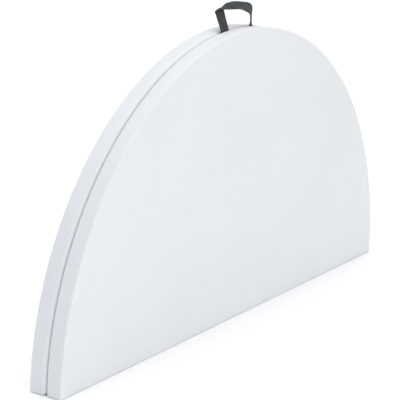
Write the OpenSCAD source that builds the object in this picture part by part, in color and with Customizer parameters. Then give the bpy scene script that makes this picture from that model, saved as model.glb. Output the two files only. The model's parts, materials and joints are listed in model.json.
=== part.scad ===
// Round folding table: two half-round tops that fold face to face about a
// double-pivot hinge, four folding legs with guided braces, and a webbing
// handle. Units are millimetres. The table stands closed on its fold edge:
// X runs along the fold, Y through the two halves, Z is up.

/* [Table top] */
// Radius of the round top
top_r = 762; // [740:1:800]
// Thickness of one half, from its lip to its table face
panel_t = 44.5; // [43:0.5:50]
// Depth of the recess that holds the legs
recess_d = 30; // [30:0.5:32]
// Width of the lip round the rim
lip_w = 22; // [18:1:24]
// Width of the solid band along the fold
fold_band = 40; // [38:1:60]
// Gap between the two lips when the table is closed
closed_gap = 1; // [0.6:0.1:2]
// Radius of the edge between the rim and the table face
face_edge_r = 4; // [2:0.5:9]
// Radius of the edge between the rim and the lip
lip_edge_r = 10.5; // [8:0.5:10.5]

/* [Hinges] */
// Distance of the outer hinges from the middle
hinge_x = 500; // [300:10:600]
// Distance of each hinge pivot from the lip and from the fold edge
pivot_in = 10.5; // [10:0.5:11]
// End radius of a hinge link
link_r = 7; // [6.5:0.1:8]
// Thickness of a hinge link
link_t = 8; // [6:0.5:10]
// Radius of a hinge pin
hinge_pin_r = 3; // [2.5:0.1:3.5]

/* [Legs] */
// Outer radius of a leg tube
leg_r = 12.5; // [11:0.5:12.5]
// Wall of a leg tube
leg_wall = 1.5; // [1:0.1:2]
// Length from the pivot to the end of the tube
leg_len = 721.5; // [700:0.5:725]
// Angle between a stowed leg and the fold, in degrees
leg_plan = 35.4; // [34:0.1:36]
// Angle that a leg swings out by, in degrees
leg_swing = 80; // [76:1:84]
// Radius of a leg's pivot bolt
leg_bolt_r = 4; // [3.5:0.1:4.5]
// Radius of a foot cap
foot_r = 14; // [13.5:0.1:14]

/* [Braces] */
// Distance from the leg pivot to the brace's rivet
brace_at = 190; // [180:1:200]
// Slope of a brace when the leg is out, in degrees
brace_slope = 60; // [58:1:62]
// How much deeper the brace's slide pin lies than its rivet
brace_drop = 8; // [7:0.5:8]
// Width of a brace
brace_w = 12; // [11:0.5:12]
// Thickness of a brace
brace_t = 4; // [3:0.5:4]
// Radius of the rivet and of the slide pin
brace_pin_r = 3; // [2.5:0.1:3]

/* [Carry strap] */
// Width of the webbing
strap_w = 37; // [30:1:40]
// Thickness of the webbing
strap_t = 2.2; // [1.8:0.1:2.4]
// Distance of each strap end from the middle
strap_x = 62; // [50:1:80]
// Height of the loop above the rim
strap_rise = 70; // [50:1:90]

/* [Hidden] */
fit_gap = 0.05;
cut = 1;

// Frame rail across each half, on the recess floor
rail_u = 238;
rail_w = 20;
rail_h = 20;
rail_wall = 1.5;
rail_half = 640;
rail_screw_x = [-560, -200, 200, 560];

// Screws
screw_r = 2;
screw_head_r = 4;
screw_head_h = 2;
screw_end = recess_d + 10;

// Hinge brackets sit in pockets at the corner of the fold band
hinge_places = [-hinge_x, 0, hinge_x];
pocket_half = 26;
pocket_deep = 22;
plate_t = 2.5;
plate_half = 24;
plate_from = 2;
plate_wide = 19;
ear_r = 6.5;
ear_gap = 0.5;
ear_t = 4;
hinge_screw_x = 17;
hinge_screw_len = 14;
pin_head_r = 5;
pin_head_h = 1.5;
pivot_y = closed_gap / 2 + pivot_in;

// Leg pivots, worked back from where the stowed feet meet under the rim
foot_x = 22;
foot_u = top_r - 46;
pivot_x = foot_x + leg_len * cos(leg_plan);
pivot_u = foot_u - leg_len * sin(leg_plan);
leg_d = 15;
head_len = 14;
head_half = 11;
spigot_len = 26;
foot_len = 26;
foot_tip = 4;
foot_end_r = foot_r - 3;
knuckle_r = leg_r - 0.1;

// Leg brackets
cheek_in = leg_r + 0.5;
cheek_t = 3;
cheek_r = 14;
base_t = 2;
base_r = 22;
base_w = 28;
base_screw_r = 14;
base_screw_w = 22;
bolt_head_r = 7;
bolt_head_h = 4;

// Braces, each on the inner side of its leg
brace_in = leg_r + 3.5;
guide_in = brace_in + brace_t + 3;
guide_t = 3;
guide_top = 3;
guide_flange = 18;
guide_end = 15;
guide_screw_w = guide_in + guide_t + 10;
guide_screw_at = [150, 280, 410];
slot_gap = 0.4;
slot_steps = 16;
side_gap = 0.3;
collar_r = 5.5;
rivet_head_h = 1.8;
slide_head_r = 4.5;
slide_head_h = 1.6;
slide_back_h = 0.8;
// The slide pin lies brace_drop below the leg pivot's plane at both ends of its travel
brace_len = (brace_at * sin(leg_swing) + brace_drop) / sin(brace_slope);
brace_rest = asin(brace_drop / brace_len);

// Strap ends, clamped into notches in the lip of half a
notch_half = 21;
notch_deep = 5;
notch_from = top_r - lip_w - 10;
strap_d = 2.6;
tail_from = top_r - 21;
tail_to = top_r + 0.2;
loop_axis = top_r + 1.6;
clamp_from = top_r - 20;
clamp_len = 15;
clamp_half = 19;
clamp_t = 1.5;
clamp_screw_x = 12;
clamp_screw_u = top_r - 12;
clamp_head_r = 3.5;
clamp_head_h = 0.7;
clamp_screw_len = 18;
loop_steps = 24;
loop_crown = 0.6 * strap_w;

plastic_white = "whitesmoke";
plastic_grey = "dimgray";
steel_grey = "slategray";
bright_steel = "silver";
webbing = [0.2, 0.22, 0.22];

// ---- Frames of reference ----

// A half is drawn as (x, u, d): u is the distance from the fold edge and d the depth below the lip.
// Half b is half a turned by 180 degrees about Z.
module in_half(half)
{
    rotate([0, 0, half == "b" ? 180 : 0])
        translate([0, -closed_gap / 2, 0])
            rotate([90, 0, 0])
                children();
}

// A leg is drawn as (r, w, d): r runs along the stowed leg from its pivot, w sideways towards the fold.
module in_leg(side)
{
    mirror([side == "left" ? 1 : 0, 0, 0])
        translate([pivot_x, pivot_u, 0])
            rotate([0, 0, 180 - leg_plan])
                children();
}

module both_legs()
{
    in_leg("right") children();
    in_leg("left") children();
}

// ---- Small shared shapes ----

// A rod along X from x = 0
module rod_x(r, h)
{
    rotate([0, 90, 0])
        cylinder(r = r, h = h, $fn = 48);
}

// A rod along +Y, from w = 0
module rod_w(r, h)
{
    rotate([-90, 0, 0])
        cylinder(r = r, h = h, $fn = 48);
}

// A pan-head screw whose head sits on the plane z = 0 and whose shank runs along +Z
module screw(shank, r = screw_r, head_r = screw_head_r, head_h = screw_head_h)
{
    cylinder(r = r, h = shank, $fn = 32);
    translate([0, 0, -head_h])
        cylinder(r = head_r, h = head_h, $fn = 32);
}

// The same screw's hole, a little larger and longer
module screw_hole(shank, r = screw_r)
{
    translate([0, 0, -cut])
        cylinder(r = r + fit_gap, h = shank + 2 * cut, $fn = 32);
}

module at_rail_screws()
{
    for (x = rail_screw_x)
        translate([x, rail_u + rail_w / 2, recess_d - rail_h])
            children();
}

module at_bracket_screws()
{
    both_legs()
        for (r = [-base_screw_r, base_screw_r], w = [-base_screw_w, base_screw_w])
            translate([r, w, recess_d - base_t])
                children();
}

module at_guide_screws()
{
    both_legs()
        for (r = guide_screw_at)
            translate([r, guide_screw_w, recess_d - base_t])
                children();
}

module at_hinge_screws()
{
    for (x = hinge_places, dx = [-hinge_screw_x, hinge_screw_x])
        translate([x + dx, pocket_deep - plate_t, pivot_in])
            rotate([-90, 0, 0])
                children();
}

module at_strap_ends()
{
    for (x = [-strap_x, strap_x])
        translate([x, 0, 0])
            children();
}

module at_clamp_screws()
{
    at_strap_ends()
        for (dx = [-clamp_screw_x, clamp_screw_x])
            translate([dx, clamp_screw_u, strap_d - clamp_t])
                children();
}

// ---- Table top ----

// Ring that rounds the rim's two edges off the full disc
module rim_rounding()
{
    rotate_extrude($fn = 180) {
        translate([top_r - face_edge_r, panel_t - face_edge_r])
            difference() {
                square(face_edge_r + cut);
                circle(r = face_edge_r, $fn = 64);
            }
        translate([top_r - lip_edge_r, lip_edge_r])
            difference() {
                translate([0, -lip_edge_r - cut])
                    square(lip_edge_r + cut);
                circle(r = lip_edge_r, $fn = 64);
            }
    }
}

// Hollow for the legs, inside the lip and short of the fold band
module leg_recess()
{
    difference() {
        translate([0, 0, -cut])
            cylinder(r = top_r - lip_w, h = recess_d + cut, $fn = 180);
        translate([-top_r, -top_r, -2 * cut])
            cube([2 * top_r, top_r + fold_band, recess_d + 3 * cut]);
    }
}

// Takes the fold edge down to a round about the hinge pivot, so the halves roll past each other
module fold_rounding()
{
    difference() {
        translate([-top_r - cut, -cut, -cut])
            cube([2 * (top_r + cut), pivot_in + cut, pivot_in + cut]);
        translate([-top_r - 2 * cut, pivot_in, pivot_in])
            rotate([0, 90, 0])
                cylinder(r = pivot_in, h = 2 * top_r + 4 * cut, $fn = 96);
    }
}

module tabletop(half)
{
    color(plastic_white)
        in_half(half)
            difference() {
                // The disc's own seam is turned to the side that is cut away
                rotate([0, 0, -90])
                    difference() {
                        cylinder(r = top_r, h = panel_t, $fn = 180);
                        rim_rounding();
                    }
                leg_recess();
                translate([-top_r - cut, -top_r - cut, -cut])
                    cube([2 * (top_r + cut), top_r + cut, panel_t + 2 * cut]);
                fold_rounding();
                for (x = hinge_places)
                    translate([x - pocket_half, -cut, -cut])
                        cube([2 * pocket_half, pocket_deep + cut, pocket_deep + cut]);
                at_hinge_screws() screw_hole(hinge_screw_len);
                at_rail_screws() screw_hole(screw_end - recess_d + rail_h);
                at_bracket_screws() screw_hole(screw_end - recess_d + base_t);
                at_guide_screws() screw_hole(screw_end - recess_d + base_t);
                if (half == "a") {
                    at_strap_ends()
                        translate([-notch_half, notch_from, -cut])
                            cube([2 * notch_half, top_r + cut - notch_from, notch_deep + cut]);
                    at_clamp_screws() screw_hole(clamp_screw_len);
                }
            }
}

// ---- Hinges ----

module hinge_links()
{
    color(steel_grey)
        for (x = hinge_places)
            translate([x - link_t / 2, 0, pivot_in])
                difference() {
                    union() {
                        for (y = [-pivot_y, pivot_y])
                            translate([0, y, 0])
                                rod_x(link_r, link_t);
                        translate([0, -pivot_y, -link_r])
                            cube([link_t, 2 * pivot_y, 2 * link_r]);
                    }
                    for (y = [-pivot_y, pivot_y])
                        translate([-cut, y, 0])
                            rod_x(hinge_pin_r + fit_gap, link_t + 2 * cut);
                }
}

module hinge_pins()
{
    reach = link_t / 2 + ear_gap + ear_t + ear_gap;
    color(bright_steel)
        for (x = hinge_places, y = [-pivot_y, pivot_y])
            translate([x, y, pivot_in]) {
                translate([-reach, 0, 0])
                    rod_x(hinge_pin_r, 2 * reach);
                translate([reach, 0, 0])
                    rod_x(pin_head_r, pin_head_h);
                translate([-reach - pin_head_h, 0, 0])
                    rod_x(pin_head_r, pin_head_h);
            }
}

module hinge_brackets(half)
{
    color(steel_grey)
        in_half(half)
            for (x = hinge_places)
                translate([x, 0, 0])
                    hinge_bracket();
}

// A back plate with two ears that hold the hinge pin
module hinge_bracket()
{
    plate_u = pocket_deep - plate_t;
    difference() {
        union() {
            translate([-plate_half, plate_u, plate_from])
                cube([2 * plate_half, plate_t, plate_wide]);
            for (s = [-1, 1])
                translate([s * (link_t / 2 + ear_gap + ear_t / 2) - ear_t / 2, 0, 0]) {
                    translate([0, pivot_in, pivot_in])
                        rod_x(ear_r, ear_t);
                    translate([0, pivot_in, pivot_in - ear_r])
                        cube([ear_t, plate_u - pivot_in + cut, 2 * ear_r]);
                }
        }
        translate([-plate_half, pivot_in, pivot_in])
            rod_x(hinge_pin_r + fit_gap, 2 * plate_half);
        for (dx = [-hinge_screw_x, hinge_screw_x])
            translate([dx, plate_u, pivot_in])
                rotate([-90, 0, 0])
                    screw_hole(plate_t);
    }
}

module hinge_screws(half)
{
    color(bright_steel)
        in_half(half)
            at_hinge_screws() screw(hinge_screw_len);
}

// ---- Frame rail and leg brackets ----

module frame_rail(half)
{
    color(steel_grey)
        in_half(half)
            difference() {
                translate([-rail_half, rail_u, recess_d - rail_h])
                    cube([2 * rail_half, rail_w, rail_h]);
                translate([-rail_half - cut, rail_u + rail_wall, recess_d - rail_h + rail_wall])
                    cube([2 * (rail_half + cut), rail_w - 2 * rail_wall, rail_h - 2 * rail_wall]);
                at_rail_screws() screw_hole(rail_h);
            }
}

module rail_screws(half)
{
    color(bright_steel)
        in_half(half)
            at_rail_screws() screw(screw_end - recess_d + rail_h);
}

// A base plate with two cheeks that a leg's head turns between
module leg_bracket()
{
    difference() {
        union() {
            translate([-base_r, -base_w, recess_d - base_t])
                cube([2 * base_r, 2 * base_w, base_t]);
            for (w = [-cheek_in - cheek_t, cheek_in])
                translate([0, w, 0]) {
                    translate([0, 0, leg_d])
                        rod_w(leg_r, cheek_t);
                    translate([-cheek_r, 0, leg_d])
                        cube([2 * cheek_r, cheek_t, recess_d - base_t - leg_d + base_t / 2]);
                }
        }
        translate([0, -cheek_in - cheek_t - cut, leg_d])
            rod_w(leg_bolt_r + fit_gap, 2 * (cheek_in + cheek_t + cut));
        for (r = [-base_screw_r, base_screw_r], w = [-base_screw_w, base_screw_w])
            translate([r, w, recess_d - base_t])
                screw_hole(base_t);
    }
}

module leg_brackets(half)
{
    color(steel_grey)
        in_half(half)
            both_legs() leg_bracket();
}

module bracket_screws(half)
{
    color(bright_steel)
        in_half(half)
            at_bracket_screws() screw(screw_end - recess_d + base_t);
}

// A bolt through both cheeks, with a hexagon nut
module leg_bolt()
{
    out = cheek_in + cheek_t;
    translate([0, -out, leg_d])
        rod_w(leg_bolt_r, 2 * out);
    translate([0, out, leg_d])
        rod_w(bolt_head_r, bolt_head_h);
    translate([0, -out - bolt_head_h, leg_d])
        rotate([-90, 0, 0])
            cylinder(r = bolt_head_r, h = bolt_head_h, $fn = 6);
}

module leg_bolts(half)
{
    color(bright_steel)
        in_half(half)
            both_legs() leg_bolt();
}

// ---- Legs ----

module leg_tube(half, side)
{
    color(steel_grey)
        in_half(half)
            in_leg(side)
                difference() {
                    translate([head_len, 0, leg_d])
                        rod_x(leg_r, leg_len - head_len);
                    translate([head_len - cut, 0, leg_d])
                        rod_x(leg_r - leg_wall, leg_len - head_len + 2 * cut);
                    translate([brace_at, -leg_r - cut, leg_d])
                        rod_w(brace_pin_r + fit_gap, 2 * (leg_r + cut));
                }
}

// A round plug in the top end of the tube, which turns on the pivot bolt
module leg_head(half, side)
{
    color(plastic_grey)
        in_half(half)
            in_leg(side)
                translate([0, 0, leg_d])
                    difference() {
                        union() {
                            translate([0, -head_half, 0])
                                rod_w(knuckle_r, 2 * head_half);
                            translate([0, -head_half, -knuckle_r])
                                cube([head_len, 2 * head_half, 2 * knuckle_r]);
                            translate([head_len - cut, 0, 0])
                                rod_x(leg_r - leg_wall - fit_gap, spigot_len + cut);
                        }
                        translate([0, -head_half - cut, 0])
                            rod_w(leg_bolt_r + fit_gap, 2 * (head_half + cut));
                    }
}

module foot_cap(half, side)
{
    color(plastic_grey)
        in_half(half)
            in_leg(side)
                translate([leg_len - foot_len + foot_tip, 0, leg_d])
                    rotate([0, 90, 0])
                        difference() {
                            union() {
                                cylinder(r = foot_r, h = foot_len, $fn = 64);
                                translate([0, 0, foot_len])
                                    cylinder(r1 = foot_r, r2 = foot_end_r, h = foot_tip / 2, $fn = 64);
                            }
                            translate([0, 0, -cut])
                                cylinder(r = leg_r + fit_gap, h = foot_len - foot_tip + cut, $fn = 64);
                        }
}

// ---- Braces ----

// Angle of the leg when it has done the fraction t of its travel
function leg_angle(t) = leg_swing * t;

// Slope of the brace at the same moment
function brace_angle(t) = brace_rest + (brace_slope - brace_rest) * t;

// Where the brace's slide pin is then, along the leg and in depth
function slide_at(t) = [
    brace_at * cos(leg_angle(t)) + brace_len * cos(brace_angle(t)),
    leg_d - brace_at * sin(leg_angle(t)) + brace_len * sin(brace_angle(t))
];

// Unit vector across the slide pin's path
function slide_across(t) =
    let (step = 0.5 / slot_steps)
    let (ahead = slide_at(t + step) - slide_at(t - step))
    [-ahead[1], ahead[0]] / norm(ahead);

module brace(half, side)
{
    color(bright_steel)
        in_half(half)
            in_leg(side)
                translate([brace_at, brace_in, leg_d])
                    rotate([0, -brace_rest, 0])
                        difference() {
                            union() {
                                rod_w(brace_w / 2, brace_t);
                                translate([brace_len, 0, 0])
                                    rod_w(brace_w / 2, brace_t);
                                translate([0, 0, -brace_w / 2])
                                    cube([brace_len, brace_t, brace_w]);
                            }
                            for (r = [0, brace_len])
                                translate([r, -cut, 0])
                                    rod_w(brace_pin_r + fit_gap, brace_t + 2 * cut);
                        }
}

// Rivet through the leg, with a head at each end and a collar that keeps the brace off the tube
module brace_rivet(half, side)
{
    from = -leg_r - side_gap - rivet_head_h;
    to = brace_in + brace_t + side_gap;
    color(bright_steel)
        in_half(half)
            in_leg(side)
                translate([brace_at, 0, leg_d]) {
                    translate([0, from + cut, 0])
                        rod_w(brace_pin_r, to + cut - (from + cut));
                    translate([0, from, 0])
                        rod_w(collar_r, rivet_head_h);
                    translate([0, leg_r + side_gap, 0])
                        rod_w(collar_r, brace_in - leg_r - 2 * side_gap);
                    translate([0, to, 0])
                        rod_w(collar_r, rivet_head_h);
                }
}

// Pin at the brace's far end, which runs in the guide's slot
module slide_pin(half, side)
{
    end = slide_at(0);
    out = guide_in + guide_t + side_gap;
    color(bright_steel)
        in_half(half)
            in_leg(side)
                translate([end[0], 0, end[1]]) {
                    translate([0, brace_in - slide_back_h, 0])
                        rod_w(slide_head_r, slide_back_h);
                    translate([0, brace_in - slide_back_h, 0])
                        rod_w(brace_pin_r, out - brace_in + slide_back_h);
                    translate([0, out, 0])
                        rod_w(slide_head_r, slide_head_h);
                }
}

// The curved slot that the slide pin follows, as an outline along the leg and in depth
module slide_slot()
{
    half_w = brace_pin_r + slot_gap;
    steps = [for (i = [0:slot_steps]) i / slot_steps];
    near = [for (t = steps) slide_at(t) + half_w * slide_across(t)];
    far = [for (i = [slot_steps:-1:0]) slide_at(steps[i]) - half_w * slide_across(steps[i])];
    polygon(concat(near, far));
    for (t = [0, 1])
        translate(slide_at(t))
            circle(r = half_w, $fn = 32);
}

// An angle with the slot in its upright web and its flange screwed to the recess floor
module brace_guide()
{
    from = slide_at(1)[0] - guide_end;
    long = slide_at(0)[0] + guide_end - from;
    difference() {
        union() {
            translate([from, guide_in, guide_top])
                cube([long, guide_t, recess_d - guide_top]);
            translate([from, guide_in, recess_d - base_t])
                cube([long, guide_t + guide_flange, base_t]);
        }
        translate([0, guide_in + guide_t + cut, 0])
            rotate([90, 0, 0])
                linear_extrude(guide_t + 2 * cut)
                    slide_slot();
        for (r = guide_screw_at)
            translate([r, guide_screw_w, recess_d - base_t])
                screw_hole(base_t);
    }
}

module brace_guides(half)
{
    color(steel_grey)
        in_half(half)
            both_legs() brace_guide();
}

module guide_screws(half)
{
    color(bright_steel)
        in_half(half)
            at_guide_screws() screw(screw_end - recess_d + base_t);
}

// ---- Carry strap ----

module strap_ends()
{
    color(webbing)
        in_half("a")
            at_strap_ends()
                difference() {
                    translate([-strap_w / 2, tail_from, strap_d])
                        cube([strap_w, tail_to - tail_from, strap_t]);
                    for (dx = [-clamp_screw_x, clamp_screw_x])
                        translate([dx, clamp_screw_u, strap_d])
                            screw_hole(strap_t);
                }
}

module strap_clamps()
{
    color(bright_steel)
        in_half("a")
            at_strap_ends()
                difference() {
                    translate([-clamp_half, clamp_from, strap_d - clamp_t])
                        cube([2 * clamp_half, clamp_len, clamp_t]);
                    for (dx = [-clamp_screw_x, clamp_screw_x])
                        translate([dx, clamp_screw_u, strap_d - clamp_t])
                            screw_hole(clamp_t);
                }
}

module strap_screws()
{
    color(bright_steel)
        in_half("a")
            at_clamp_screws() screw(clamp_screw_len, screw_r, clamp_head_r, clamp_head_h);
}

// Half of an ellipse that stands on the line u = loop_axis, where the loop turns over
function loop_arc(across, rise) = [
    for (i = [0:loop_steps])
        let (a = 180 * i / loop_steps)
        [across * cos(a), loop_axis + rise * sin(a)]
];

module carry_strap()
{
    outer = loop_arc(strap_x + strap_w / 2, strap_rise);
    inner = loop_arc(strap_x - strap_w / 2, strap_rise - loop_crown);
    color(webbing)
        in_half("a") {
            translate([0, 0, strap_d])
                linear_extrude(strap_t)
                    polygon(concat(outer, [for (i = [loop_steps:-1:0]) inner[i]]));
            for (x = [-strap_x, strap_x])
                translate([x - strap_w / 2, loop_axis, strap_d + strap_t / 2])
                    rod_x(strap_t / 2, strap_w);
        }
}

tabletop("a");  // tabletop_a
tabletop("b");  // tabletop_b
hinge_links();
hinge_pins();
hinge_brackets("a");  // hinge_brackets_a
hinge_brackets("b");  // hinge_brackets_b
hinge_screws("a");  // hinge_screws_a
hinge_screws("b");  // hinge_screws_b
frame_rail("a");  // frame_rail_a
frame_rail("b");  // frame_rail_b
rail_screws("a");  // rail_screws_a
rail_screws("b");  // rail_screws_b
leg_brackets("a");  // leg_brackets_a
leg_brackets("b");  // leg_brackets_b
bracket_screws("a");  // bracket_screws_a
bracket_screws("b");  // bracket_screws_b
leg_bolts("a");  // leg_bolts_a
leg_bolts("b");  // leg_bolts_b
brace_guides("a");  // brace_guides_a
brace_guides("b");  // brace_guides_b
guide_screws("a");  // guide_screws_a
guide_screws("b");  // guide_screws_b
strap_ends();
strap_clamps();
strap_screws();
carry_strap();
for (half = ["a", "b"], side = ["right", "left"]) {
    tag = str("_", half, "_", side);
    leg_tube(half, side);
    leg_head(half, side);
    foot_cap(half, side);
    brace(half, side);
    brace_rivet(half, side);
    slide_pin(half, side);
}
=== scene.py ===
import json
import math

import bmesh
import bpy
from mathutils import Matrix, Vector


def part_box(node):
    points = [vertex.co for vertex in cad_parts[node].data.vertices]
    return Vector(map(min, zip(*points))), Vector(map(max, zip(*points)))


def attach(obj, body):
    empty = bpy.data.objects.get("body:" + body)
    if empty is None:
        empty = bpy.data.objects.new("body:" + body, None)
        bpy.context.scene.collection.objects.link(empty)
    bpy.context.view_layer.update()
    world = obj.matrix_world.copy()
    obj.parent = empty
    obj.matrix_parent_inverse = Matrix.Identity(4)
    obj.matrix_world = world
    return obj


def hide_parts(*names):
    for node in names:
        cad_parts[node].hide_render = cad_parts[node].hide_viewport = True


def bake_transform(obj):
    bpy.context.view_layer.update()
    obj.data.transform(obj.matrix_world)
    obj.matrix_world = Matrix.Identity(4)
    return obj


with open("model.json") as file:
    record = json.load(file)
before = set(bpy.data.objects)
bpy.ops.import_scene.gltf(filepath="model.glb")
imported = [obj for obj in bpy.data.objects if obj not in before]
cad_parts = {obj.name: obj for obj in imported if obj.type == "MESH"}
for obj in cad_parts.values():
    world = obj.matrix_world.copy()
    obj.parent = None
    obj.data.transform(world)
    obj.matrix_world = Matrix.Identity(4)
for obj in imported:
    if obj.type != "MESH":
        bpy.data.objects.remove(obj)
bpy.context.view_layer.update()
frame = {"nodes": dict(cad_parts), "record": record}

# ---- Sizes read from the frame ----

PANEL_LOW, PANEL_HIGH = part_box("tabletop_a")
TOP_R = PANEL_HIGH.x
LIP_Y = -PANEL_HIGH.y
PANEL_T = PANEL_HIGH.y - PANEL_LOW.y
RAIL_LOW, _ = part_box("frame_rail_a")
RECESS_D = -RAIL_LOW.y - LIP_Y
LIP_W = 0.022
FOLD_BAND = 0.040
MM = 0.001

# Rounded edges of the moulded halves
PLAN_R = 0.005
FACE_R = 0.004
LIP_R = 0.0105
RECESS_PLAN_R = 0.018
RECESS_EDGE_R = 0.002
RECESS_FOOT_R = 0.004
RECESS_DRAFT = 0.0012
SMALLEST_CORNER_R = 0.001

# Narrow flat bands beside the rounded edges, so the smooth shading stays in the rounding
FACE_BAND = 0.004
LIP_BAND = 0.002
FOLD_EDGE_BAND = 0.003
RECESS_FLOOR_BAND = 0.006

# Hinge pockets and the notches for the strap's ends
BRACKET_HALF = 0.024
POCKET_HALF = 0.026
POCKET_DEEP = 0.022
NOTCH_HALF = 0.021
NOTCH_DEEP = 0.005
CUT_PAST_LIP = 0.002
CUT_INTO_RECESS = 0.004
CUT_PAST_RIM = 0.005

# Webbing of the carry strap
STRAP_W = 0.037
STRAP_HALF_T = 0.0011
CORD_PITCH = 0.0015
PICK_PITCH = 0.0022


# ---- Camera, at the angle of the reference view ----


def add_camera():
    place = Vector((-3.4905, -2.1133, 1.3991))
    yaw, pitch, roll = (math.radians(a) for a in (57.770, -15.013, 2.483))
    ahead = Vector((math.sin(yaw) * math.cos(pitch), math.cos(yaw) * math.cos(pitch), math.sin(pitch)))
    level = Vector((math.cos(yaw), -math.sin(yaw), 0))
    above = level.cross(ahead)
    right = math.cos(roll) * level + math.sin(roll) * above
    up = math.cos(roll) * above - math.sin(roll) * level
    data = bpy.data.cameras.new("camera")
    data.sensor_width = 36
    data.lens = 145.9
    data.clip_end = 60
    camera = bpy.data.objects.new("camera", data)
    bpy.context.scene.collection.objects.link(camera)
    turn = Matrix((right, up, -ahead)).transposed().to_4x4()
    camera.matrix_world = Matrix.Translation(place) @ turn
    bpy.context.scene.camera = camera


add_camera()


# ---- Material helpers ----


class Nodes:
    """A material's node tree, with short calls for the nodes used here."""

    def __init__(self, name):
        self.material = bpy.data.materials.new(name)
        self.material.use_nodes = True
        self.tree = self.material.node_tree
        self.shader = self.tree.nodes["Principled BSDF"]

    def add(self, kind, **values):
        node = self.tree.nodes.new(kind)
        for key, value in values.items():
            if key in node.inputs:
                node.inputs[key].default_value = value
            else:
                setattr(node, key, value)
        return node

    def link(self, source, target):
        self.tree.links.new(source, target)

    def place(self):
        return self.add("ShaderNodeTexCoord").outputs["Object"]

    def noise(self, coords, scale, detail=3.0, rough=0.5):
        node = self.add("ShaderNodeTexNoise", Scale=scale, Detail=detail, Roughness=rough)
        self.link(coords, node.inputs["Vector"])
        return node.outputs["Fac"]

    def ramp(self, value, low, high, at=(0.3, 0.7)):
        """Maps a 0..1 value to a blend of two colours, or of two greys given as numbers."""
        node = self.add("ShaderNodeValToRGB")
        for stop, colour, where in zip(node.color_ramp.elements, (low, high), at):
            stop.position = where
            stop.color = (*colour, 1) if isinstance(colour, tuple) else (colour, colour, colour, 1)
        self.link(value, node.inputs["Fac"])
        return node.outputs["Color"]

    def mix(self, factor, first, second, mode="MIX"):
        node = self.add("ShaderNodeMix", data_type="RGBA", blend_type=mode)
        for socket, value in ((node.inputs[0], factor), (node.inputs[6], first), (node.inputs[7], second)):
            if isinstance(value, bpy.types.NodeSocket):
                self.link(value, socket)
            else:
                socket.default_value = (*value, 1) if isinstance(value, tuple) else value
        return node.outputs[2]

    def math(self, operation, first, second=0.0):
        node = self.add("ShaderNodeMath", operation=operation)
        for socket, value in zip(node.inputs, (first, second)):
            if isinstance(value, bpy.types.NodeSocket):
                self.link(value, socket)
            else:
                socket.default_value = value
        return node.outputs[0]

    def bump(self, height, distance, strength=1.0, after=None):
        node = self.add("ShaderNodeBump", Distance=distance, Strength=strength)
        self.link(height, node.inputs["Height"])
        if after:
            self.link(after, node.inputs["Normal"])
        return node.outputs["Normal"]

    def finish(self, colour, roughness, normal):
        self.link(colour, self.shader.inputs["Base Color"])
        self.link(roughness, self.shader.inputs["Roughness"])
        self.link(normal, self.shader.inputs["Normal"])
        return self.material


# ---- Materials ----


def white_plastic():
    """Blow-moulded polyethylene: a fine pebbled skin, slight waviness and faint scuffs."""
    m = Nodes("white_plastic")
    coords = m.place()
    tint = m.ramp(m.noise(coords, 3.0, 4), (0.745, 0.770, 0.785), (0.775, 0.795, 0.81))
    specks = m.ramp(m.noise(coords, 220.0, 2), 0.985, 1.0, (0.42, 0.6))
    colour = m.mix(1.0, tint, specks, "MULTIPLY")
    # Scuffs: long thin marks, kept to a few patches
    stretch = m.add("ShaderNodeMapping", Scale=(14, 60, 160))
    m.link(coords, stretch.inputs["Vector"])
    marks = m.ramp(m.noise(stretch.outputs["Vector"], 3.0, 5, 0.7), 0.0, 1.0, (0.66, 0.74))
    patches = m.ramp(m.noise(coords, 5.0, 2), 0.0, 1.0, (0.52, 0.70))
    scuff = m.math("MULTIPLY", marks, patches)
    colour = m.mix(m.math("MULTIPLY", scuff, 0.10), colour, (0.52, 0.53, 0.54))
    roughness = m.ramp(m.noise(coords, 26.0, 4), 0.40, 0.52)
    roughness = m.mix(m.math("MULTIPLY", scuff, 0.6), roughness, (0.62, 0.62, 0.62))
    waves = m.bump(m.noise(coords, 7.0, 2), 0.0012, 0.35)
    pebbles = m.bump(m.noise(coords, 900.0, 2), 0.00012, 0.30, waves)
    m.shader.inputs["Specular IOR Level"].default_value = 0.42
    m.shader.inputs["Subsurface Weight"].default_value = 0.30
    m.shader.inputs["Subsurface Radius"].default_value = (1.0, 1.0, 1.0)
    m.shader.inputs["Subsurface Scale"].default_value = 0.006
    return m.finish(colour, roughness, pebbles)


def painted_steel(name, dark, light):
    """Powder coat: orange-peel skin, faint mottling and rubbed spots."""
    m = Nodes(name)
    coords = m.place()
    colour = m.ramp(m.noise(coords, 18.0, 4), dark, light)
    rubbed = m.ramp(m.noise(coords, 75.0, 5, 0.7), 0.0, 1.0, (0.68, 0.78))
    colour = m.mix(m.math("MULTIPLY", rubbed, 0.35), colour, (0.50, 0.50, 0.51))
    roughness = m.ramp(m.noise(coords, 60.0, 3), 0.34, 0.50)
    peel = m.bump(m.noise(coords, 420.0, 2), 0.0003, 0.35)
    m.shader.inputs["Coat Weight"].default_value = 0.15
    m.shader.inputs["Coat Roughness"].default_value = 0.35
    return m.finish(colour, roughness, peel)


def zinc_plate():
    """Bright zinc on fasteners and braces, with drawn lines and cloudy patches."""
    m = Nodes("bright_steel")
    coords = m.place()
    clouds = m.ramp(m.noise(coords, 45.0, 4), (0.50, 0.51, 0.53), (0.68, 0.68, 0.67))
    drawn = m.add("ShaderNodeMapping", Scale=(1, 1, 30))
    m.link(coords, drawn.inputs["Vector"])
    lines = m.noise(drawn.outputs["Vector"], 120.0, 3)
    roughness = m.ramp(lines, 0.24, 0.42)
    m.shader.inputs["Metallic"].default_value = 1.0
    return m.finish(clouds, roughness, m.bump(lines, 0.00015, 0.4))


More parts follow.
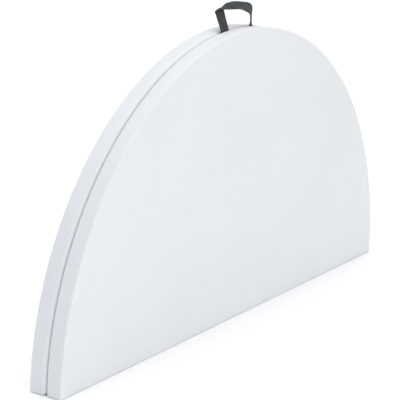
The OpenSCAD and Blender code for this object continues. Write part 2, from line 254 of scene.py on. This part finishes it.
def dark_plastic():
    """Moulded nylon plugs and foot caps, dusty in places."""
    m = Nodes("grey_plastic")
    coords = m.place()
    colour = m.ramp(m.noise(coords, 40.0, 4), (0.055, 0.057, 0.060), (0.085, 0.086, 0.088))
    roughness = m.ramp(m.noise(coords, 90.0, 3), 0.45, 0.65)
    return m.finish(colour, roughness, m.bump(m.noise(coords, 700.0, 2), 0.0002, 0.4))


def woven_webbing():
    """Polypropylene webbing: warp cords over weft, in strap coordinates (u across, v along), in metres."""
    m = Nodes("webbing")
    uv = m.add("ShaderNodeUVMap", uv_map="strap").outputs["UV"]
    part = m.add("ShaderNodeSeparateXYZ")
    m.link(uv, part.inputs[0])
    across, along = part.outputs[0], part.outputs[1]
    # The picks zigzag from cord to cord
    cord = m.math("MULTIPLY", across, 1 / CORD_PITCH)
    shift = m.math("MULTIPLY", m.math("PINGPONG", cord, 1.0), 0.5)
    pick = m.math("ADD", m.math("MULTIPLY", along, 1 / PICK_PITCH), shift)
    ridge = m.math("ABSOLUTE", m.math("SINE", m.math("MULTIPLY", cord, math.pi)))
    slant = m.math("ABSOLUTE", m.math("SINE", m.math("MULTIPLY", pick, math.pi)))
    picks = m.math("ADD", m.math("MULTIPLY", slant, 0.6), 0.4)
    weave = m.math("MULTIPLY", m.math("POWER", ridge, 0.6), picks)
    # Painted shade: the colour is darkest in the grooves between the cords and between the picks, where
    # the weave height is lowest, on top of the bump
    base = m.ramp(weave, (0.008, 0.0115, 0.014), (0.027, 0.036, 0.044), (0.0, 0.9))
    coords = m.place()
    faded = m.ramp(m.noise(coords, 30.0, 4), (0.70, 0.70, 0.70), (1.40, 1.40, 1.45))
    colour = m.mix(1.0, base, faded, "MULTIPLY")
    fuzz = m.noise(coords, 1400.0, 2)
    roughness = m.ramp(fuzz, 0.62, 0.85)
    m.shader.inputs["Sheen Weight"].default_value = 0.12
    m.shader.inputs["Sheen Roughness"].default_value = 0.4
    return m.finish(colour, roughness, m.bump(fuzz, 0.0002, 0.4, m.bump(weave, 0.0006, 0.8)))


MATERIALS = {
    "white_plastic": white_plastic(),
    "frame_steel": painted_steel("frame_steel", (0.115, 0.12, 0.125), (0.16, 0.165, 0.17)),
    "leg_steel": painted_steel("leg_steel", (0.20, 0.205, 0.21), (0.27, 0.275, 0.28)),
    "bright_steel": zinc_plate(),
    "grey_plastic": dark_plastic(),
    "webbing": woven_webbing(),
}

SLOT_OF = {part["node"]: part["material_slot"] for part in frame["record"]["subparts"]}


def dress(piece, slot):
    piece.data.materials.clear()
    piece.data.materials.append(MATERIALS[slot])


for node_name, node_object in frame["nodes"].items():
    dress(node_object, SLOT_OF[node_name])


# ---- Mesh helpers ----


def new_piece(name, points, faces):
    mesh = bpy.data.meshes.new(name)
    mesh.from_pydata([tuple(p) for p in points], [], faces)
    mesh.validate()
    piece = bpy.data.objects.new(name, mesh)
    bpy.context.scene.collection.objects.link(piece)
    return piece


def outward(piece):
    """Turns every face to point out of its closed shell."""
    work = bmesh.new()
    work.from_mesh(piece.data)
    bmesh.ops.recalc_face_normals(work, faces=work.faces)
    work.to_mesh(piece.data)
    work.free()


def smooth(piece, degrees=32):
    piece.data.shade_smooth()
    piece.data.set_sharp_from_angle(angle=math.radians(degrees))


def apply_modifiers(piece):
    bpy.context.view_layer.update()
    evaluated = piece.evaluated_get(bpy.context.evaluated_depsgraph_get())
    mesh = bpy.data.meshes.new_from_object(evaluated)
    piece.modifiers.clear()
    piece.data = mesh


def subtract(piece, cutter):
    """Cuts one closed mesh out of another and drops the cutter."""
    outward(cutter)
    step = piece.modifiers.new("cut", "BOOLEAN")
    step.operation = "DIFFERENCE"
    step.solver = "MANIFOLD"
    step.object = cutter
    apply_modifiers(piece)
    bpy.data.objects.remove(cutter)


def box_mesh(name, low, high):
    corners = [(x, y, z) for x in (low[0], high[0]) for y in (low[1], high[1]) for z in (low[2], high[2])]
    sides = [(0, 1, 3, 2), (4, 6, 7, 5), (0, 4, 5, 1), (2, 3, 7, 6), (0, 2, 6, 4), (1, 5, 7, 3)]
    return new_piece(name, corners, sides)


# ---- Table top halves ----
# A half is drawn as (x, u, d): u from the fold edge, d the depth below the lip.


def place_half(x, u, d):
    return Vector((x, -LIP_Y - d, u))


def half_disc(radius, base, corner_r, arc_steps=150, corner_steps=8, base_steps=40):
    """Outline of a half-disc cut off at base, its corners rounded, always with as many points."""
    corner_u = base + corner_r
    corner_x = math.sqrt((radius - corner_r) ** 2 - corner_u**2)
    tip = math.atan2(corner_u, corner_x)
    outline = []
    for i in range(arc_steps + 1):
        a = tip + (math.pi - 2 * tip) * i / arc_steps
        outline.append((radius * math.cos(a), radius * math.sin(a)))
    for i in range(1, corner_steps + 1):
        a = math.pi - tip + (math.pi / 2 + tip) * i / corner_steps
        outline.append((-corner_x + corner_r * math.cos(a), corner_u + corner_r * math.sin(a)))
    for i in range(1, base_steps):
        outline.append((-corner_x + 2 * corner_x * i / base_steps, base))
    for i in range(corner_steps):
        a = -math.pi / 2 + (math.pi / 2 + tip) * i / corner_steps
        outline.append((corner_x + corner_r * math.cos(a), corner_u + corner_r * math.sin(a)))
    return outline


def rounding(radius, depth):
    """How far an edge rounded with this radius has stepped back at a depth below it."""
    rest = max(radius - depth, 0)
    return radius - math.sqrt(radius**2 - rest**2)


def round_depths(radius, steps):
    """Depths that split a rounded edge into equal turns."""
    return [radius * (1 - math.cos(math.pi / 2 * i / steps)) for i in range(steps + 1)]


def panel_loops():
    """The half's skin as rings of points, from the middle of the table face round to the recess floor."""
    rings = []

    def ring(radius, base, corner_r, depth):
        rings.append([place_half(x, u, depth) for x, u in half_disc(radius, base, corner_r)])

    # Table face, its round edge, then the rim up to the rounded lip
    ring(TOP_R - FACE_R - FACE_BAND, FACE_R + FACE_BAND, SMALLEST_CORNER_R, PANEL_T)
    for above in round_depths(FACE_R, steps=7):
        back = rounding(FACE_R, above)
        ring(TOP_R - back, back, max(PLAN_R - back, SMALLEST_CORNER_R), PANEL_T - above)
    for depth in reversed(round_depths(LIP_R, steps=10)):
        back = rounding(LIP_R, depth)
        ring(TOP_R - back, back, PLAN_R, depth)
    ring(TOP_R - LIP_R - LIP_BAND, LIP_R + FOLD_EDGE_BAND, PLAN_R, 0)
    # Recess wall, with its rounded top edge and foot
    well_r, well_u = TOP_R - LIP_W, FOLD_BAND
    edge, foot, draft = RECESS_EDGE_R, RECESS_FOOT_R, RECESS_DRAFT
    out = edge + LIP_BAND
    ring(well_r + out, well_u - out, RECESS_PLAN_R + out, 0)
    for depth in round_depths(edge, steps=4):
        out = rounding(edge, depth)
        ring(well_r + out, well_u - out, RECESS_PLAN_R + out, depth)
    for above in reversed(round_depths(foot, steps=5)):
        back = draft + rounding(foot, above)
        ring(well_r - back, well_u + back, RECESS_PLAN_R - back, RECESS_D - above)
    back = draft + foot + RECESS_FLOOR_BAND
    ring(well_r - back, well_u + back, RECESS_PLAN_R - back, RECESS_D)
    return rings


def skin(rings):
    """Joins rings of equal length with quads and closes both ends."""
    count = len(rings[0])
    points = [p for ring in rings for p in ring]
    faces = []
    for level in range(len(rings) - 1):
        for i in range(count):
            j = (i + 1) % count
            here, above = level * count, (level + 1) * count
            faces.append((here + i, here + j, above + j, above + i))
    faces.append(tuple(range(count))[::-1])
    faces.append(tuple((len(rings) - 1) * count + i for i in range(count)))
    return points, faces


def make_tabletop(half):
    points, faces = skin(panel_loops())
    if half == "b":
        points = [Vector((-p.x, -p.y, p.z)) for p in points]
    piece = new_piece("top_" + half, points, faces)
    outward(piece)
    turn = -1 if half == "b" else 1
    for low, high in pocket_boxes() + (notch_boxes() if half == "a" else []):
        a, b = place_half(*low), place_half(*high)
        corners = [[f(turn * p, turn * q) for p, q in zip(a.xy, b.xy)] for f in (min, max)]
        subtract(piece, box_mesh("cutter", (*corners[0], a.z), (*corners[1], b.z)))
    dress(piece, "white_plastic")
    smooth(piece)
    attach(piece, "half_" + half)
    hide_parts("tabletop_" + half)


def pocket_boxes():
    """Hinge pockets in the fold band, one at each hinge bracket."""
    low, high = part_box("hinge_brackets_a")
    middles = (low.x + BRACKET_HALF, 0, high.x - BRACKET_HALF)
    return [
        ((x - POCKET_HALF, -CUT_PAST_LIP, -CUT_PAST_LIP), (x + POCKET_HALF, POCKET_DEEP, POCKET_DEEP))
        for x in middles
    ]


def notch_boxes():
    """Notches in the lip that the ends of the strap lie in."""
    _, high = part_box("strap_ends")
    centre = high.x - STRAP_W / 2
    inner, outer = TOP_R - LIP_W - CUT_INTO_RECESS, TOP_R + CUT_PAST_RIM
    return [
        ((x - NOTCH_HALF, inner, -CUT_PAST_LIP), (x + NOTCH_HALF, outer, NOTCH_DEEP))
        for x in (-centre, centre)
    ]


for half_name in ("a", "b"):
    make_tabletop(half_name)


# ---- Carry strap ----
# Stations along the middle of the webbing, in millimetres, each with two turns of its width in degrees:
# from +X towards +Y, then up. The webbing is as wide all along. It leaves the seam flat, folds over into
# a tilted arch, and turns back down into the seam.
STRAP_STATIONS = [
    # the clamped end and the leg that rises from it, leaning back
    (-62, -4.2, 742, 0, 0),
    (-62, -4.2, 757, 0, 0),
    (-63, 12, 802, -2, 6),
    # the fold at the top of that leg
    (-61, 16, 813, -4, 14),
    # the arch
    (-34, 10, 818, 30, 20),
    (3, 2, 817, 46, 26),
    (38, -8, 809, 30, 34),
    # the far corner, then the leg that comes back down, its edge towards the first
    (50, -10, 800, 22, 30),
    (60, -5, 775, 26, 10),
    (62, -3, 760, 17, -2),
    (62, -4.2, 752, 0, 0),
    (62, -4.2, 742, 0, 0),
]


def cubic(start, end, slope_in, slope_out, t):
    """A cubic from start to end with these slopes at its ends."""
    rise = end - start
    square, cube = 3 * rise - 2 * slope_in - slope_out, slope_in + slope_out - 2 * rise
    return start + slope_in * t + square * t**2 + cube * t**3


def through(stations, steps):
    """A smooth curve through the stations, value by value, with steps pieces between each two."""
    run = [0.0]
    for here, there in zip(stations, stations[1:]):
        run.append(run[-1] + math.dist(here[:3], there[:3]))
    slopes = []
    for i in range(len(stations)):
        back, ahead = max(i - 1, 0), min(i + 1, len(stations) - 1)
        length = run[ahead] - run[back]
        slopes.append([(q - p) / length for p, q in zip(stations[back], stations[ahead])])
    curve = []
    for i in range(len(stations) - 1):
        length = run[i + 1] - run[i]
        ends = list(zip(stations[i], stations[i + 1], slopes[i], slopes[i + 1]))
        for k in range(steps):
            curve.append([cubic(p, q, m * length, n * length, k / steps) for p, q, m, n in ends])
    curve.append(stations[-1])
    return curve


def strap_edges(half_w):
    """The webbing's two edges, half_w to either side of its middle."""
    left, right = [], []
    for x, y, z, turn, lift in through(STRAP_STATIONS, steps=12):
        middle, turn, lift = Vector((x, y, z)) * MM, math.radians(turn), math.radians(lift)
        across = Vector((math.cos(lift) * math.cos(turn), math.cos(lift) * math.sin(turn), math.sin(lift)))
        left.append(middle - across * half_w)
        right.append(middle + across * half_w)
    return left, right


def make_strap():
    left, right = strap_edges(STRAP_W / 2)
    rows, cols = len(left), 16
    middle = [(a + b) / 2 for a, b in zip(left, right)]
    run = [0.0]
    for a, b in zip(middle, middle[1:]):
        run.append(run[-1] + (b - a).length)
    grid, normals = [], []
    for i in range(rows):
        along = (middle[min(i + 1, rows - 1)] - middle[max(i - 1, 0)]).normalized()
        normal = (right[i] - left[i]).cross(along).normalized()
        normals.append(normal)
        row = []
        for j in range(cols + 1):
            s = j / cols
            crease = crease_height(run[i] / run[-1], s)
            row.append(left[i].lerp(right[i], s) + normal * crease)
        grid.append(row)
    points, faces, strap_uv = [], [], []
    for side in (1, -1):
        for i in range(rows):
            for j in range(cols + 1):
                # Thinner only at the very edges, for a rounded selvedge
                edge = 1 - abs(2 * j / cols - 1) ** 12 * 0.75
                points.append(grid[i][j] + normals[i] * (side * STRAP_HALF_T * edge))
                strap_uv.append((j / cols * STRAP_W, run[i]))
    count = rows * (cols + 1)
    for i in range(rows - 1):
        for j in range(cols):
            a = i * (cols + 1) + j
            b = a + cols + 1
            faces.append((a, a + 1, b + 1, b))
            faces.append((a + count, b + count, b + 1 + count, a + 1 + count))
    rim = list(range(cols + 1))
    rim += [i * (cols + 1) + cols for i in range(1, rows)]
    rim += [(rows - 1) * (cols + 1) + j for j in range(cols - 1, -1, -1)]
    rim += [i * (cols + 1) for i in range(rows - 2, 0, -1)]
    for a, b in zip(rim, rim[1:] + rim[:1]):
        faces.append((a, a + count, b + count, b))
    piece = new_piece("carry_strap_webbing", points, faces)
    layer = piece.data.uv_layers.new(name="strap")
    for loop in piece.data.loops:
        layer.data[loop.index].uv = strap_uv[loop.vertex_index]
    outward(piece)
    dress(piece, "webbing")
    smooth(piece, 60)
    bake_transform(piece)
    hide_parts("carry_strap", "strap_ends")


def crease_height(along, across):
    """Soft wrinkles where the webbing turns over, fading out towards the clamped ends."""
    clamped_share, height = 0.12, 0.0012
    loose = (along - clamped_share) / (1 - 2 * clamped_share)
    free = max(0.0, math.sin(math.pi * min(max(loose, 0), 1)))
    return height * free * math.sin(math.pi * 2.4 * across + 9 * along) * math.sin(24 * along)


make_strap()


# ---- Floor and light ----


def add_floor():
    size = 40.0
    corners = [(-size, -size, 0), (size, -size, 0), (size, size, 0), (-size, size, 0)]
    floor = new_piece("floor", corners, [(0, 1, 2, 3)])
    m = Nodes("floor_paint")
    coords = m.place()
    colour = m.ramp(m.noise(coords, 1.5, 3), (0.955, 0.955, 0.955), (0.97, 0.97, 0.97))
    roughness = m.ramp(m.noise(coords, 8.0, 3), 0.75, 0.85)
    floor.data.materials.append(m.finish(colour, roughness, m.bump(m.noise(coords, 60.0, 2), 0.0005, 0.1)))


def add_area_light(name, place, target, size, power):
    data = bpy.data.lights.new(name, "AREA")
    data.shape = "DISK"
    data.size = size
    data.energy = power
    light = bpy.data.objects.new(name, data)
    bpy.context.scene.collection.objects.link(light)
    light.location = place
    light.rotation_euler = (Vector(target) - Vector(place)).to_track_quat("-Z", "Y").to_euler()


def add_world():
    """Even studio light, dimmer and cooler low down on the left."""
    world = bpy.data.worlds.new("studio")
    bpy.context.scene.world = world
    world.use_nodes = True
    tree = world.node_tree
    background = tree.nodes["Background"]
    place = tree.nodes.new("ShaderNodeTexCoord")
    along = tree.nodes.new("ShaderNodeVectorMath")
    along.operation = "DOT_PRODUCT"
    along.inputs[1].default_value = (0.87, 0, 0.49)
    ramp = tree.nodes.new("ShaderNodeValToRGB")
    reach = tree.nodes.new("ShaderNodeMapRange")
    reach.inputs["From Min"].default_value = -1
    reach.inputs["From Max"].default_value = 1
    tree.links.new(place.outputs["Generated"], along.inputs[0])
    tree.links.new(along.outputs["Value"], reach.inputs["Value"])
    tree.links.new(reach.outputs["Result"], ramp.inputs["Fac"])
    tree.links.new(ramp.outputs["Color"], background.inputs["Color"])
    ramp.color_ramp.elements[0].color = (0.22, 0.27, 0.42, 1)
    ramp.color_ramp.elements[0].position = 0.08
    ramp.color_ramp.elements[1].color = (1.0, 1.0, 1.0, 1)
    ramp.color_ramp.elements[1].position = 0.50
    background.inputs["Strength"].default_value = 0.74


def add_sun(power, spread):
    """Soft light from straight above, which keeps the floor white."""
    data = bpy.data.lights.new("overhead", "SUN")
    data.energy = power
    data.angle = math.radians(spread)
    light = bpy.data.objects.new("overhead", data)
    bpy.context.scene.collection.objects.link(light)


add_floor()
add_world()
add_sun(1.45, 70)
add_area_light("front", (-2.2, -3.3, 1.2), (-0.3, 0, 0.3), 1.4, 18)
bpy.context.scene.view_settings.view_transform = "Standard"
